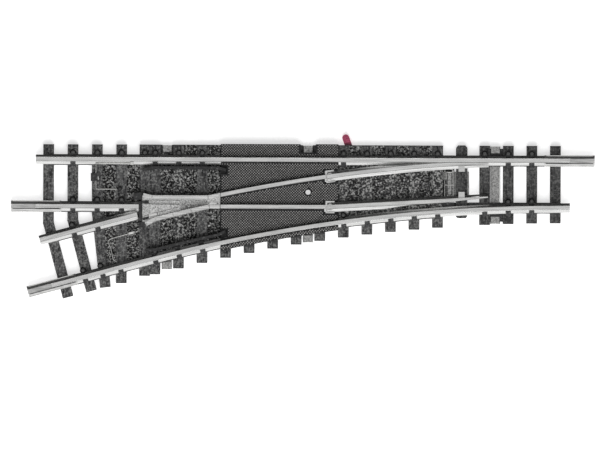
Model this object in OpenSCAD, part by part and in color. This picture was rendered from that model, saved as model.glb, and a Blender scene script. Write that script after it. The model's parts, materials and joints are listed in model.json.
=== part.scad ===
// Left-hand model railway turnout for 9 mm gauge, thrown by a hand lever.
// X runs along the straight route towards the blade tips, Y towards the lever, Z up.
// The origin is half way along the straight route, on its centre line, at the underside.

/* [Track] */
// Distance between the inner faces of two rail heads
gauge = 9; // [8.95:0.05:9.05]
// Length of the straight route, from rail end to rail end
straight_len = 112.6; // [112.4:0.1:112.8]
// Radius of the diverging route's centre line
curve_r = 347; // [346:0.5:348]
// Angle that the diverging route turns through
curve_angle = 15; // [14.9:0.05:15.1]
// Straight track between the toe end and the start of the curve
curve_start = 1.6; // [1.4:0.1:1.8]
// Straight track after the curve
exit_len = 19.7; // [19:0.1:20]

/* [Rail] */
// Height of the rail
rail_h = 2.03; // [2:0.01:2.05]
// Width of the rail foot
foot_w = 2; // [1.95:0.05:2]
// Width of the rail web
web_w = 0.6; // [0.5:0.05:0.6]
// Width of the rail head
head_w = 0.9; // [0.85:0.05:0.9]

/* [Bed] */
// Height of the sleeper tops, where the rails sit
seat_z = 2.2; // [2.2:0.05:2.3]
// Height of the bed between the sleepers
ballast_z = 2; // [1.9:0.05:2]
// Width of a sleeper
sleeper_w = 2.25; // [2.1:0.05:2.3]
// Length of a sleeper
sleeper_len = 16.26; // [16.1:0.02:16.4]
// Distance from one sleeper to the next
sleeper_pitch = 4.96; // [4.94:0.01:4.98]
// Height of the knurled panel's top
panel_z = 2.95; // [2.9:0.05:3]

/* [Switch] */
// Swing of each blade
blade_swing = 3.3; // [3.1:0.1:3.4]
// Angle that the lever swings through
lever_swing = 40; // [38:1:42]
// Radius of the hole for a track nail
nail_hole_r = 0.55; // [0.5:0.05:0.6]

/* [Hidden] */
$fn = 48;

// Large arcs, such as the curved rails, need more facets in the preview than small holes
arc_fn = 720;
// Overlap that makes two joined solids one, or a cut go right through
eps = 0.1;
// Clearance between a pin and its running bore
pin_gap = 0.05;
// Clearance between a fixed pin and its bore
fit_gap = 0.02;
// Clearance between two fixed pieces
seat_gap = 0.03;

// Rails
toe_x = straight_len / 2;
curve_x = toe_x - curve_start;
rail_y = (gauge + head_w) / 2;
inner_r = curve_r - rail_y;
outer_r = curve_r + rail_y;
exit_x = curve_x - curve_r * sin(curve_angle);
exit_y = curve_r * cos(curve_angle) - curve_r;
foot_edge_h = 0.22;
foot_h = 0.42;
head_under_h = 1.35;
rail_top = seat_z + rail_h;
flangeway = 1;

// Bed outline
bed_x0 = -44.3;
bed_x1 = 29.45;
shoulder_x = -34.4;
shoulder_y = 8.15;
web_half = 1.12;
bed_edge = rail_y + web_half;

// Panel
panel_x0 = -17.3;
panel_x1 = 7.5;
panel_top_y = 8.3;
panel_edge = rail_y + 1.55;
panel_floor_z = 1.9;

// Frog
frog_x0 = -33.8;
frog_x1 = -17.4;
nose_x = -26;
insulator_w = 0.8;
frog_floor_z = 3.1;
nose_y = -gauge / 2;
wing_offset = rail_y - head_w - flangeway;

// Switch
pivot_x = 5.75;
closure_x1 = 4.8;
blade_x0 = 5.2;
blade_tip_x = 39.1;
blade_lift = 0.03;
heel_pin_r = 0.35;
heel_boss_r = 0.72;
heel_boss_h = 0.85;
tie_x = 33.46;
tie_w = 2.45;
tie_y0 = -7.15;
tie_y1 = 8.2;
tie_z0 = 1.15;
tie_z1 = 2.12;
lug_reach = 1.35;
lug_pin_r = 0.28;
lug_gap = 0.08;
lug_w = 1.3;
throw = (tie_x - pivot_x) * sin(blade_swing);

// Lever and drive plate
lever_x = 10.06;
lever_y = 6.87;
lever_r = 3.77;
lever_w = 1.5;
crank_r = 2.9;
crank_knob_r = 0.5;
hub_r = 1.1;
lever_pin_r = 0.45;
drive_travel = 2 * crank_r * sin(lever_swing / 2);
drive_z0 = 0.4;
drive_z1 = 1;
pocket_z = 1.1;
cover_h = 0.3;
peg_r = 0.35;
peg_x = tie_x + drive_travel / 2;
peg_y = -throw / 2;
crank_x = lever_x + crank_r * sin(lever_swing / 2);
rivets = [[6.6, 1.2], [6.6, 6.8], [15.5, 4.4], [26.2, 4.4]];
rivet_r = 0.4;
cover_x0 = 5.3;
cover_y0 = 0.3;
cover_len = 23.9;
cover_w = 7.5;
head_plate_x = 30.3;

// Check rails and insulators
check_w = 0.6;
check_z = 3.95;
insulator_h = 1.7;

// Joiners: how far each reaches onto its own rail, and beyond the rail's end
joiner_in = 5.4;
joiner_out = 5.2;

// Wires
wire_w = 0.28;
wire_low_z = 2.25;
wire_high_z = 2.72;
frame_wire_w = 0.3;
frame_wire_z = 1.12;

// Contact straps: place along X, and the two ends in Y
toe_strap_x = 40.55;
centre_strap_x = 1.1;
frog_strap_x = -28.6;
strap_w = 2.1;
tab_w = 1.8;
tab_d = 1.45;
strap_t = 0.25;
tab_h = 1.6;
// Slot that a tab rises through, and the pocket round the tab's top
slot_d = 0.45;
tab_pocket_w = 2.6;
strap_end_y = 8.05;
nail_x = 1.1;
nail_y = -1.8;

// Sleepers
first_sleeper_x = toe_x - 3.1;
twin_sleeper_x = -33.3;
fan_x0 = -38.2;
fan_pitch = 5.13;
fan_bend_y = [-8, -6.2, -7.8, -8.4];
fan_turn = [0, 6.5, curve_angle, curve_angle];

// Angle on an arc of radius r, from the start of the curve, where it passes x
function arc_angle(x, r) = asin((curve_x - x) / r);
// Y of an arc of radius r at x
function arc_y(x, r) = r * cos(arc_angle(x, r)) - curve_r;
// Point of an arc of radius r at an angle
function arc_point(a, r) = [curve_x - r * sin(a), r * cos(a) - curve_r];
// Place of sleeper n, counted from the toe end
function sleeper_x(n) = first_sleeper_x - n * sleeper_pitch;
// Distance of a point from the exit's centre line, towards the outside of the curve
function exit_side(p) = (p[0] - exit_x) * sin(curve_angle) - (p[1] - exit_y) * cos(curve_angle);
// Point of the exit at distance d after the curve and side s outside its centre line
function exit_point(d, s) = [exit_x - d * cos(curve_angle) + s * sin(curve_angle),
    exit_y - d * sin(curve_angle) - s * cos(curve_angle)];
// Length of fan sleeper m after its bend
function fan_len(m) = (sleeper_len / 2 - exit_side([fan_x(m), fan_bend_y[m]]))
    / cos(curve_angle - fan_turn[m]);
// Place of fan sleeper m, counted from the frog
function fan_x(m) = fan_x0 - m * fan_pitch;
// A section is half an outline, mirrored
function mirrored(half) = concat(half, [for (i = [len(half) - 1:-1:0]) [-half[i][0], half[i][1]]]);

// ---- Sections ----

module rail_section() {
    polygon(mirrored([[foot_w / 2, 0], [foot_w / 2, foot_edge_h], [web_w / 2, foot_h],
        [web_w / 2, head_under_h], [head_w / 2, head_under_h + 0.15], [head_w / 2, rail_h - 0.08],
        [head_w / 2 - 0.08, rail_h]]));
}

module channel_section() {
    polygon(mirrored([[foot_w / 2 + 0.05, 0], [foot_w / 2 + 0.05, foot_h + 0.05],
        [head_w / 2 + 0.05, foot_h + 0.05], [head_w / 2 + 0.05, rail_h]]));
}

module joiner_section() {
    polygon([[-1.2, -0.2], [1.2, -0.2], [1.2, 0.56], [0.5, 0.74], [0.5, 0.56], [1.04, 0.4],
        [1.04, -0.04], [-1.04, -0.04], [-1.04, 0.4], [-0.5, 0.56], [-0.5, 0.74], [-1.2, 0.56]]);
}

module chair_section() {
    polygon([[foot_w / 2 + 0.04, -0.3], [1.42, -0.3], [1.42, 0.4], [1.25, 0.6], [0.55, 0.6],
        [0.55, 0.47], [foot_w / 2 + 0.04, 0.3]]);
}

// ---- Runs: a section carried along each kind of track ----

module straight_run(x0, x1, y) {
    translate([x0, y, seat_z]) rotate([90, 0, 90]) linear_extrude(x1 - x0) children();
}

module arc_run(r, a0, a1) {
    translate([curve_x, -curve_r, seat_z]) rotate([0, 0, 90 + a0])
        rotate_extrude(angle = a1 - a0, $fn = arc_fn) translate([r, 0]) children();
}

// side is the distance outside the exit's centre line
module exit_run(d0, d1, side) {
    translate([exit_x, exit_y, seat_z]) rotate([0, 0, 180 + curve_angle]) translate([d0, side, 0])
        rotate([90, 0, 90]) linear_extrude(d1 - d0) children();
}

// Straight bar of width w from point p to point q
module bar(p, q, w, z0, z1) {
    d = q - p;
    translate([p[0], p[1], z0]) rotate([0, 0, atan2(d[1], d[0])]) translate([0, -w / 2, 0])
        cube([norm(d), w, z1 - z0]);
}

// Bars through a list of points, with corners that are round and just inside the bars' sides
module bars(points, w, z0, z1) {
    for (i = [0:len(points) - 2]) bar(points[i], points[i + 1], w, z0, z1);
    for (i = [1:len(points) - 2]) translate([points[i][0], points[i][1], z0])
        cylinder(r = w / 2 - 0.01, h = z1 - z0);
}

// ---- Base ----

module sleeper(x, y0, y1, w) {
    translate([x - w / 2, y0, 0]) cube([w, y1 - y0, seat_z]);
}

// The tie bar takes the fifth sleeper's place
module running_sleepers() {
    for (n = [0, 1, 2, 3, 5, 6, 7, 8, 9, 10, 11, 12, 13, 14, 15, 16, 17])
        sleeper(sleeper_x(n), arc_y(sleeper_x(n), curve_r - sleeper_len / 2), sleeper_len / 2, sleeper_w);
    sleeper(twin_sleeper_x, -19.5, sleeper_len / 2, sleeper_w);
}

// The last four sleepers bend between the two routes
module fan_sleepers() {
    for (m = [0:3]) {
        sleeper(fan_x(m), fan_bend_y[m], sleeper_len / 2, sleeper_w);
        translate([fan_x(m), fan_bend_y[m], 0]) rotate([0, 0, fan_turn[m]]) {
            translate([-sleeper_w / 2, -fan_len(m), 0]) cube([sleeper_w, fan_len(m), seat_z]);
            cylinder(r = sleeper_w / 2, h = seat_z);
        }
    }
}

// Outline of the bed's lower edge, from x1 back to the end of the curve
function edge_points(x1, edge) = [for (i = [0:10])
    arc_point(arc_angle(x1, curve_r - edge) * (10 - i) / 10 + curve_angle * i / 10, curve_r - edge)];

module bed_plate() {
    linear_extrude(ballast_z) polygon(concat([[bed_x1, shoulder_y]], edge_points(bed_x1, bed_edge),
        [exit_point(8, bed_edge), [-43.6, -8.6], [bed_x0, -8], [bed_x0, bed_edge],
        [shoulder_x, bed_edge], [shoulder_x, shoulder_y]]));
}

// Narrow webs that carry the rails between the open sleepers
module toe_webs() {
    for (y = [-rail_y, rail_y]) translate([bed_x1 - eps, y - web_half, 0])
        cube([first_sleeper_x - bed_x1 + eps, 2 * web_half, seat_z]);
}

module exit_webs() {
    low = fan_x(3);
    for (y = [-rail_y, rail_y]) translate([low, y - web_half, 0])
        cube([bed_x0 - low + eps, 2 * web_half, seat_z]);
    for (side = [-rail_y, rail_y]) bar(exit_point(4, side), exit_point(17.5, side), 2 * web_half, 0, seat_z);
}

module chair(x, y, turn) {
    translate([x, y, seat_z]) rotate([90, 0, 90 + turn]) translate([0, 0, -0.55])
        linear_extrude(1.1) chair_section();
}

// A chair on the curved stock rail, on the rail's outer side or its inner side
module curved_chair(n, turn) {
    chair(sleeper_x(n), arc_y(sleeper_x(n), inner_r), turn + arc_angle(sleeper_x(n), inner_r));
}

module exit_chair(d, side, turn) {
    chair(exit_point(d, side)[0], exit_point(d, side)[1], turn + curve_angle);
}

// Chairs on the outer side of both stock rails
module outer_chairs() {
    for (n = [1, 2, 3, 5, 6, 7, 8, 9, 15, 16, 17]) {
        chair(sleeper_x(n), rail_y, 0);
        curved_chair(n, 180);
    }
    for (m = [0, 1, 2]) chair(fan_x(m), rail_y, 0);
    for (d = [4.8, 8.7, 12.5]) exit_chair(d, rail_y, 180);
}

module inner_chairs() {
    for (n = [1, 2, 9, 15, 16, 17]) chair(sleeper_x(n), rail_y, 180);
    for (n = [1, 2, 15, 16, 17]) curved_chair(n, 0);
    chair(fan_x(2), rail_y, 180);
    for (m = [0, 1, 2]) {
        chair(fan_x(m), -rail_y, 0);
        chair(fan_x(m), -rail_y, 180);
    }
    for (d = [7.2, 12.3]) exit_chair(d, -rail_y, 180);
    exit_chair(12.3, -rail_y, 0);
}

module panel_outline(grow) {
    left = panel_x0 - grow;
    low_r = curve_r - panel_edge - grow;
    polygon(concat([[panel_x1 + grow, panel_top_y + grow], [panel_x1 + grow, arc_y(panel_x1, low_r)]],
        [for (p = edge_points(panel_x1, panel_edge + grow)) if (p[0] > panel_x0 && p[0] < panel_x1 - eps) p],
        [[left, arc_y(panel_x0, low_r)], [left, panel_top_y + grow]]));
}

// Space swept by the lever, the crank knob and the drive plate
module mechanism_pocket() {
    h = pocket_z - cover_h;
    x0 = crank_x - drive_travel - 1.5;
    translate([lever_x, lever_y, cover_h]) cylinder(r = hub_r + 0.25, h = h);
    translate([lever_x - 1.95, 3, cover_h]) cube([3.9, lever_y - 3, h]);
    translate([lever_x - 1.5, lever_y, cover_h]) cube([3, 2, h]);
    translate([x0, 0.8, cover_h]) cube([drive_travel + 3, 4.3, h]);
    translate([x0, 0.8, cover_h]) cube([bed_x1 + 0.5 - x0, 2.05, h]);
    translate([28, -2.65, cover_h]) cube([2, 5.5, h]);
}

// Groove for a strap under the bed, with an opening at each edge for its tabs
module strap_groove(x, y0, y1) {
    translate([x - strap_w / 2 - 0.1, y0 - eps, -0.05]) cube([strap_w + 0.2, y1 - y0 + 2 * eps, 0.4]);
    for (y = [y0 - eps, y1 - slot_d]) translate([x - tab_w / 2 - 0.1, y, -0.05])
        cube([tab_w + 0.2, slot_d + eps, seat_z + 1]);
    for (y = [y0 - eps, y1 - tab_d - 0.1]) translate([x - tab_pocket_w / 2, y, tab_h - strap_t - 0.1])
        cube([tab_pocket_w, tab_d + eps + 0.1, seat_z]);
}

module base_moulding() {
    color("#333335") difference() {
        union() {
            bed_plate();
            running_sleepers();
            fan_sleepers();
            toe_webs();
            exit_webs();
            outer_chairs();
            inner_chairs();
            translate([bed_x1 - eps, -3.4, 0]) cube([2.6, 7.2, cover_h]);
        }
        translate([0, 0, panel_floor_z]) linear_extrude(2) panel_outline(seat_gap);
        bed_recesses();
        mechanism_pocket();
        cover_outline(0.05);
        for (p = rivets) translate([p[0], p[1], -eps]) cylinder(r = rivet_r + fit_gap, h = 1.3 + eps);
        translate([lever_x, lever_y, -eps]) cylinder(r = lever_pin_r + fit_gap, h = 1.5 + eps);
        for (y = [-rail_y, rail_y]) translate([tie_x - tie_w / 2 - 0.25, y - 2, tie_z0 - eps])
            cube([tie_w + 0.5, 4, 2]);
        heel_frames() translate([0, 0, 1.2]) cylinder(r = heel_pin_r + fit_gap, h = 2);
        strap_groove(frog_strap_x, -18.15, strap_end_y + 0.05);
        strap_groove(centre_strap_x, -12.4, strap_end_y + 0.05);
        translate([toe_strap_x - strap_w / 2 - 0.1, -9, 0.3]) cube([strap_w + 0.2, 18, 0.4]);
        translate([nail_x, nail_y, -eps]) cylinder(r = nail_hole_r, h = seat_z + 1);
        straight_run(toe_x - 5.6, toe_x + 1, rail_y) square([2.6, 0.5], center = true);
        straight_run(-toe_x - 1, 5.6 - toe_x, -rail_y) square([2.6, 0.5], center = true);
        exit_run(exit_len - 5.6, exit_len + 1, rail_y) square([2.6, 0.5], center = true);
    }
}

// The bed is hollow from below, between the sleepers
module bed_recesses() {
    w = sleeper_pitch - sleeper_w;
    for (n = [11:15]) recess(sleeper_x(n) - sleeper_w / 2 - w, w, 7.1);
    for (n = [5:8]) recess(sleeper_x(n) - sleeper_w / 2 - w, w, -0.5);
    recess(twin_sleeper_x - sleeper_w / 2 - 2.6, 1.8, 5);
    recess(fan_x0 - sleeper_w / 2 - 2.6, 2, 5);
}

module recess(x, w, y1) {
    y0 = arc_y(x, curve_r - rail_y) - 0.2;
    translate([x, y0, -eps]) cube([w, y1 - y0, 1.1 + eps]);
}

// ---- Panel ----

// Frames at the heel of each blade: the curved blade's, then the straight one's
module upper_heel_frame() {
    translate([pivot_x, arc_y(pivot_x, outer_r), 0]) rotate([0, 0, arc_angle(pivot_x, outer_r)]) children();
}

module lower_heel_frame() {
    translate([pivot_x, -rail_y, 0]) children();
}

module heel_frames() {
    upper_heel_frame() children();
    lower_heel_frame() children();
}

module centre_panel() {
    color("#3a3a3b") difference() {
        translate([0, 0, panel_floor_z]) linear_extrude(panel_z - panel_floor_z) panel_outline(0);
        straight_run(panel_x0 - 1, panel_x1 + 1, rail_y) channel_section();
        straight_run(panel_x0 - 1, closure_x1, -rail_y) channel_section();
        arc_run(inner_r, 6, curve_angle) channel_section();
        arc_run(outer_r, arc_angle(closure_x1, outer_r), curve_angle) channel_section();
        heel_frames() translate([-1.2, -1.4, 2.03]) cube([4, 2.8, 2]);
        heel_frames() translate([0, 0, 1]) cylinder(r = heel_pin_r + fit_gap, h = 2);
        translate([nail_x, nail_y, 1]) cylinder(r = nail_hole_r, h = 3);
        translate([centre_strap_x - 1.6, strap_end_y - tab_d - 0.05, 1]) cube([3.2, 2, 3]);
        // Notches for the ends of the check rails
        translate([panel_x0 - 1, 2, seat_z]) cube([2.3, 1.7, 3]);
        translate([panel_x0 - 1, -11.5, seat_z]) cube([2.3, 1.75, 3]);
    }
}

// ---- Fixed rails ----

module straight_stock_rail() {
    color("#c4c4c2") straight_run(-toe_x, toe_x, rail_y) rail_section();
}

module curved_stock_rail() {
    color("#c4c4c2") union() {
        straight_run(curve_x, toe_x, -rail_y) rail_section();
        arc_run(inner_r, 0, curve_angle) rail_section();
        exit_run(0, exit_len, rail_y) rail_section();
    }
}

module straight_closure_rail() {
    color("#c4c4c2") straight_run(panel_x0, closure_x1, -rail_y) rail_section();
}

module curved_closure_rail() {
    color("#c4c4c2") arc_run(outer_r, arc_angle(closure_x1, outer_r), arc_angle(panel_x0, outer_r))
        rail_section();
}

module straight_exit_rail() {
    color("#c4c4c2") straight_run(-toe_x, frog_x0 - insulator_w, -rail_y) rail_section();
}

module diverging_exit_rail() {
    color("#c4c4c2") difference() {
        union() {
            arc_run(outer_r, arc_angle(frog_x0 - insulator_w - 0.3, outer_r), curve_angle) rail_section();
            exit_run(0, exit_len, -rail_y) rail_section();
        }
        // The two exit rails' feet are mitred where they come together
        straight_run(-42, -30, -rail_y) translate([-1.03, -eps]) square([2.06, 0.6]);
    }
}

// ---- Frog ----

upper_wing = [[frog_x1, arc_y(frog_x1, outer_r)], [-19.9, -wing_offset], [-31.8, -wing_offset],
    [frog_x0 + 0.1, 0.45 - wing_offset]];
lower_wing = concat([[frog_x1, -rail_y], [-19.7, -rail_y]],
    [for (x = [-23.5, -27.3, -31]) [x, arc_y(x, curve_r + wing_offset)]], [[-33.1, -8.7]]);

module vee() {
    polygon(concat([[frog_x0, nose_y], [nose_x, nose_y - 0.1]],
        [for (x = [nose_x, -28.6, -31.2, frog_x0]) [x, arc_y(x, curve_r + gauge / 2)]]));
}

module frog_casting() {
    color("#b0b0ae") union() {
        translate([0, 0, seat_z]) linear_extrude(frog_floor_z - seat_z)
            polygon([[frog_x1, arc_y(frog_x1, outer_r) + 0.45], [-19.9, 0.45 - wing_offset],
                [frog_x0, 0.45 - wing_offset], [frog_x0, -8.2], [-31, -8.05], [-19.7, -rail_y - 0.45],
                [frog_x1, -rail_y - 0.45]]);
        bars(upper_wing, head_w, seat_z, rail_top);
        bars(lower_wing, head_w, seat_z, rail_top);
        translate([0, 0, seat_z]) linear_extrude(rail_h) vee();
    }
}

module wing_insulators() {
    color("#1c1c1d") {
        translate([-35.7, -3.55, seat_z]) cube([1.8, 1.5, insulator_h]);
        translate([-34.5, -9.35, seat_z]) cube([1.05, 1.05, insulator_h]);
    }
}

module nose_insulator() {
    color("#1c1c1d") translate([frog_x0 - insulator_w + 0.05, -8.1, seat_z])
        cube([insulator_w - 0.1, 4.2, insulator_h + 0.05]);
}

module upper_check_rail() {
    y = (gauge - check_w) / 2 - flangeway;
    points = [[-33.6, y - 0.45], [-31.6, y], [-18, y], [-16.2, y - 0.45]];
    color("#29292a") bars(points, check_w, seat_z, check_z);
}

module lower_check_rail() {
    r = curve_r - (gauge - check_w) / 2 + flangeway;
    x0 = -31.2;
    x1 = -18;
    left = [[-33, arc_y(-33, r) + 0.4], [x0, arc_y(x0, r)], [x0 + 0.3, arc_y(x0 + 0.3, r)]];
    right = [[x1 - 0.3, arc_y(x1 - 0.3, r)], [x1, arc_y(x1, r)], [-16.3, arc_y(-16.3, r) + 0.4]];
    color("#29292a") union() {
        arc_run(r, arc_angle(x1, r), arc_angle(x0, r)) translate([-check_w / 2, 0])
            square([check_w, check_z - seat_z]);
        bars(left, check_w, seat_z, check_z);
        bars(right, check_w, seat_z, check_z);
    }
}

// ---- Joiners, straps and wires ----

module toe_joiner() {
    color("#b9b9b7") straight_run(toe_x - joiner_in, toe_x + joiner_out, rail_y) joiner_section();
}

module straight_exit_joiner() {
    color("#b9b9b7") straight_run(-toe_x - joiner_out, joiner_in - toe_x, -rail_y) joiner_section();
}

module diverging_exit_joiner() {
    color("#b9b9b7") exit_run(exit_len - joiner_in, exit_len + joiner_out, rail_y) joiner_section();
}

module contact_strap(x, y0, y1, z0, hole_r) {
    color("#a9a9a6") difference() {
        union() {
            translate([x - strap_w / 2, y0, z0]) cube([strap_w, y1 - y0, strap_t]);
            for (y = [y0, y1 - 0.3]) translate([x - tab_w / 2, y, z0]) cube([tab_w, 0.3, tab_h]);
            for (y = [y0, y1 - tab_d]) translate([x - tab_w / 2, y, z0 + tab_h - strap_t])
                cube([tab_w, tab_d, strap_t]);
        }
        if (hole_r > 0) translate([nail_x, nail_y, z0 - eps]) cylinder(r = hole_r, h = 1);
    }
}

module toe_contact_strap() {
    contact_strap(toe_strap_x, -8.3, 8, 0.38, 0);
}

module centre_contact_strap() {
    contact_strap(centre_strap_x, -12.35, strap_end_y, 0.02, nail_hole_r + 0.15);
}

module frog_contact_strap() {
    contact_strap(frog_strap_x, -18.1, strap_end_y, 0.02, 0);
}

// The wire runs over the rail's foot, then steps down and runs on the bed
module upper_jumper_wire() {
    x = -43.6;
    step_y = 3.4;
    low_y = -1.28;
    high_top = wire_high_z + wire_w;
    low_top = wire_low_z + wire_w;
    color("#d0d0cd") union() {
        bar([-35.7, 4.2], [x, 4.2], wire_w, wire_high_z, high_top);
        bar([x, 4.2 + wire_w / 2], [x, step_y], wire_w, wire_high_z, high_top);
        translate([x - wire_w / 2, step_y, wire_low_z]) cube([wire_w, wire_w, high_top - wire_low_z]);
        bar([x, step_y + wire_w], [x, low_y], wire_w, wire_low_z, low_top);
        bar([x - wire_w / 2, low_y], [-39.2, low_y], wire_w, wire_low_z, low_top);
    }
}

module lower_jumper_wire() {
    points = [[-34.8, -10.2], [-36.7, -10.7], [-40.5, -11.8], [-41.1, -12.3], [-40.4, -13.8],
        [-39.9, -16.2], [-39.2, -16.6]];
    color("#d0d0cd") bars(points, wire_w, wire_low_z, wire_low_z + wire_w);
}

module jumper_knob() {
    color("#1c1c1d") translate([-38.65, -1.25, seat_z]) cylinder(r = 0.5, h = 0.6);
}

module jumper_latch() {
    color("#1c1c1d") difference() {
        translate([-44.7, 0.4, seat_z]) cube([1.5, 1.7, 0.7]);
        translate([-43.6 - 0.2, 0, seat_z - eps]) cube([0.4, 3, 0.5]);
    }
}

// ---- Heels ----

module heel_clip() {
    difference() {
        translate([-0.95, -1.3, 2.05]) cube([1.9, 2.6, 0.9]);
        translate([-1, -1.12, seat_z]) cube([2, 2.24, 2]);
        translate([0, 0, 1]) cylinder(r = heel_pin_r + fit_gap, h = 2);
    }
}

module upper_heel_clip() {
    color("#cfcfcc") upper_heel_frame() heel_clip();
}

module lower_heel_clip() {
    color("#cfcfcc") lower_heel_frame() heel_clip();
}

module heel_pins() {
    color("#9b9b98") heel_frames() translate([0, 0, 1.25]) cylinder(r = heel_pin_r, h = 1.55);
}

// ---- Mechanism ----

module retaining_wire() {
    x0 = 29.9;
    x1 = 31.8;
    y0 = -2.95;
    y1 = 3.3;
    w = frame_wire_w;
    color("#d0d0cd") union() {
        for (x = [x0, x1]) bar([x, y0], [x, y1], w, frame_wire_z, frame_wire_z + w);
        for (y = [y0, y1]) bar([x0 - w / 2, y], [x1 + w / 2, y], w, frame_wire_z, frame_wire_z + w);
        for (x = [x0, x1]) for (y = [y0, y1]) translate([x - w / 2, y - w / 2, cover_h]) cube([w, w, 1]);
    }
}

module cover_outline(grow) {
    translate([cover_x0 - grow, cover_y0 - grow, -grow])
        cube([cover_len + 2 * grow, cover_w + 2 * grow, cover_h + grow]);
}

module bottom_cover() {
    color("#2b2b2c") difference() {
        translate([cover_x0, cover_y0, 0]) cube([cover_len, cover_w, cover_h - seat_gap]);
        for (p = rivets) translate([p[0], p[1], -eps]) cylinder(r = rivet_r + fit_gap, h = 1);
        translate([lever_x, lever_y, -eps]) cylinder(r = lever_pin_r + fit_gap, h = 1);
    }
}

module cover_rivets() {
    color("#8f8f8c") for (p = rivets) translate([p[0], p[1], 0]) cylinder(r = rivet_r, h = 1.25);
}

module lever_pivot_pin() {
    color("#9b9b98") translate([lever_x, lever_y, 0]) cylinder(r = lever_pin_r, h = 1.45);
}

// Drawn leaning by half its swing towards the frog end
module hand_lever() {
    h = drive_z1 - drive_z0;
    tip_y = lever_r - lever_w / 2;
    grip_y = 1.95;
    color("#a83c62") translate([lever_x, lever_y, 0]) rotate([0, 0, lever_swing / 2]) difference() {
        union() {
            translate([0, 0, drive_z0]) cylinder(r = hub_r, h = h);
            translate([-lever_w / 2, 0, drive_z0]) cube([lever_w, tip_y, h]);
            translate([-0.3, -crank_r, drive_z0]) cube([0.6, crank_r, h]);
            translate([0, -crank_r, drive_z0]) cylinder(r = crank_knob_r, h = h);
            translate([-lever_w / 2, grip_y, cover_h]) cube([lever_w, tip_y - grip_y, 1.2]);
            translate([0, tip_y, cover_h]) cylinder(r = lever_w / 2, h = 1.2);
        }
        translate([0, 0, -eps]) cylinder(r = lever_pin_r + pin_gap, h = 3);
    }
}

module drive_plate() {
    fork = crank_knob_r + 0.06;
    h = drive_z1 - drive_z0;
    x0 = crank_x - 1.3;
    color("#b4b4b1") difference() {
        union() {
            translate([x0, 1, drive_z0]) cube([head_plate_x + 0.2 - x0, 1.6, h]);
            translate([x0, 1, drive_z0]) cube([2.6, 3.5, h]);
            translate([head_plate_x, -2.45, drive_z0]) cube([peg_x + 0.6 - head_plate_x, 5.15, h]);
        }
        translate([crank_x - fork, 3.3, 0]) cube([2 * fork, 3, 3]);
    }
}

module drive_peg() {
    color("#9b9b98") translate([peg_x, peg_y, drive_z1]) cylinder(r = peg_r, h = 0.75);
}

module tie_bar() {
    groove_angle = atan2(throw, -drive_travel);
    h = tie_z1 - tie_z0;
    top_r = 0.8;
    low_r = 0.6;
    left = tie_x - tie_w / 2;
    hole_r = lug_pin_r + lug_gap;
    color("#2e2e2f") difference() {
        union() {
            translate([left, tie_y0 + low_r, tie_z0]) cube([tie_w, tie_y1 - tie_y0 - top_r - low_r, h]);
            for (y = [tie_y0, tie_y1 - 1]) translate([left + 0.4, y, tie_z0]) cube([tie_w - 0.8, 1, h]);
            for (side = [-1, 1]) {
                translate([tie_x + side * (tie_w / 2 - top_r), tie_y1 - top_r, tie_z0])
                    cylinder(r = top_r, h = h);
                translate([tie_x + side * (tie_w / 2 - low_r), tie_y0 + low_r, tie_z0])
                    cylinder(r = low_r, h = h);
            }
        }
        translate([tie_x, 0, 0]) rotate([0, 0, groove_angle]) translate([-3, -peg_r - 0.06, 0])
            cube([6, 2 * peg_r + 0.12, 1.85]);
        translate([tie_x, upper_lug_y(), 0]) cylinder(r = hole_r, h = 3);
        // The straight blade's pin also moves a little along X, so its hole is a short slot
        for (dx = [-0.02, 0.14]) translate([tie_x + dx, lower_lug_y(), 0]) cylinder(r = hole_r, h = 3);
        translate([tie_x - 0.02, lower_lug_y() - hole_r, 0]) cube([0.16, 2 * hole_r, 3]);
    }
}

// Where the two lugs' pins stand, at the blades' rest position
function upper_lug_y() = arc_y(tie_x, outer_r) - lug_reach;
function lower_lug_y() = throw + lug_reach - rail_y;

// ---- Blades ----

// The curved blade lies against the straight stock rail
module curved_blade() {
    color("#c9c9c6") difference() {
        union() {
            translate([0, 0, blade_lift])
                arc_run(outer_r, arc_angle(blade_tip_x, outer_r), arc_angle(blade_x0, outer_r))
                    rail_section();
            upper_heel_frame() translate([0, 0, seat_z + blade_lift])
                cylinder(r = heel_boss_r, h = heel_boss_h);
        }
        translate([0, gauge / 2 - 0.04, 0]) cube([60, 3, 6]);
        translate([0, rail_y - foot_w / 2 - 0.07, 0]) cube([60, 3, seat_z + foot_h + 0.1]);
        upper_heel_frame() cylinder(r = heel_pin_r + pin_gap, h = 2.85);
    }
}

// The straight blade, swung open about its heel
module straight_blade() {
    color("#c9c9c6") translate([pivot_x, -rail_y, 0]) rotate([0, 0, blade_swing])
        translate([-pivot_x, rail_y, 0]) difference() {
            union() {
                translate([0, 0, blade_lift]) straight_run(blade_x0, blade_tip_x, -rail_y) rail_section();
                lower_heel_frame() translate([0, 0, seat_z + blade_lift])
                    cylinder(r = heel_boss_r, h = heel_boss_h);
            }
            translate([curve_x, -curve_r, 0]) cylinder(r = curve_r - gauge / 2 + 0.04, h = 6, $fn = arc_fn);
            translate([curve_x, -curve_r, 0])
                cylinder(r = inner_r + foot_w / 2 + 0.07, h = seat_z + foot_h + 0.1, $fn = arc_fn);
            lower_heel_frame() cylinder(r = heel_pin_r + pin_gap, h = 2.85);
        }
}

// Plate over the blade's foot, beside its web, with a pin down into the tie bar
module blade_lug(y, plate_y0) {
    color("#d0d0cd") union() {
        translate([tie_x - lug_w / 2, plate_y0, wire_high_z]) cube([lug_w, lug_w, 0.28]);
        translate([tie_x, y, 1.4]) cylinder(r = lug_pin_r, h = 1.5);
    }
}

module curved_blade_lug() {
    blade_lug(upper_lug_y(), upper_lug_y() - 0.35);
}

module straight_blade_lug() {
    blade_lug(lower_lug_y(), lower_lug_y() - 0.95);
}

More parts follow.
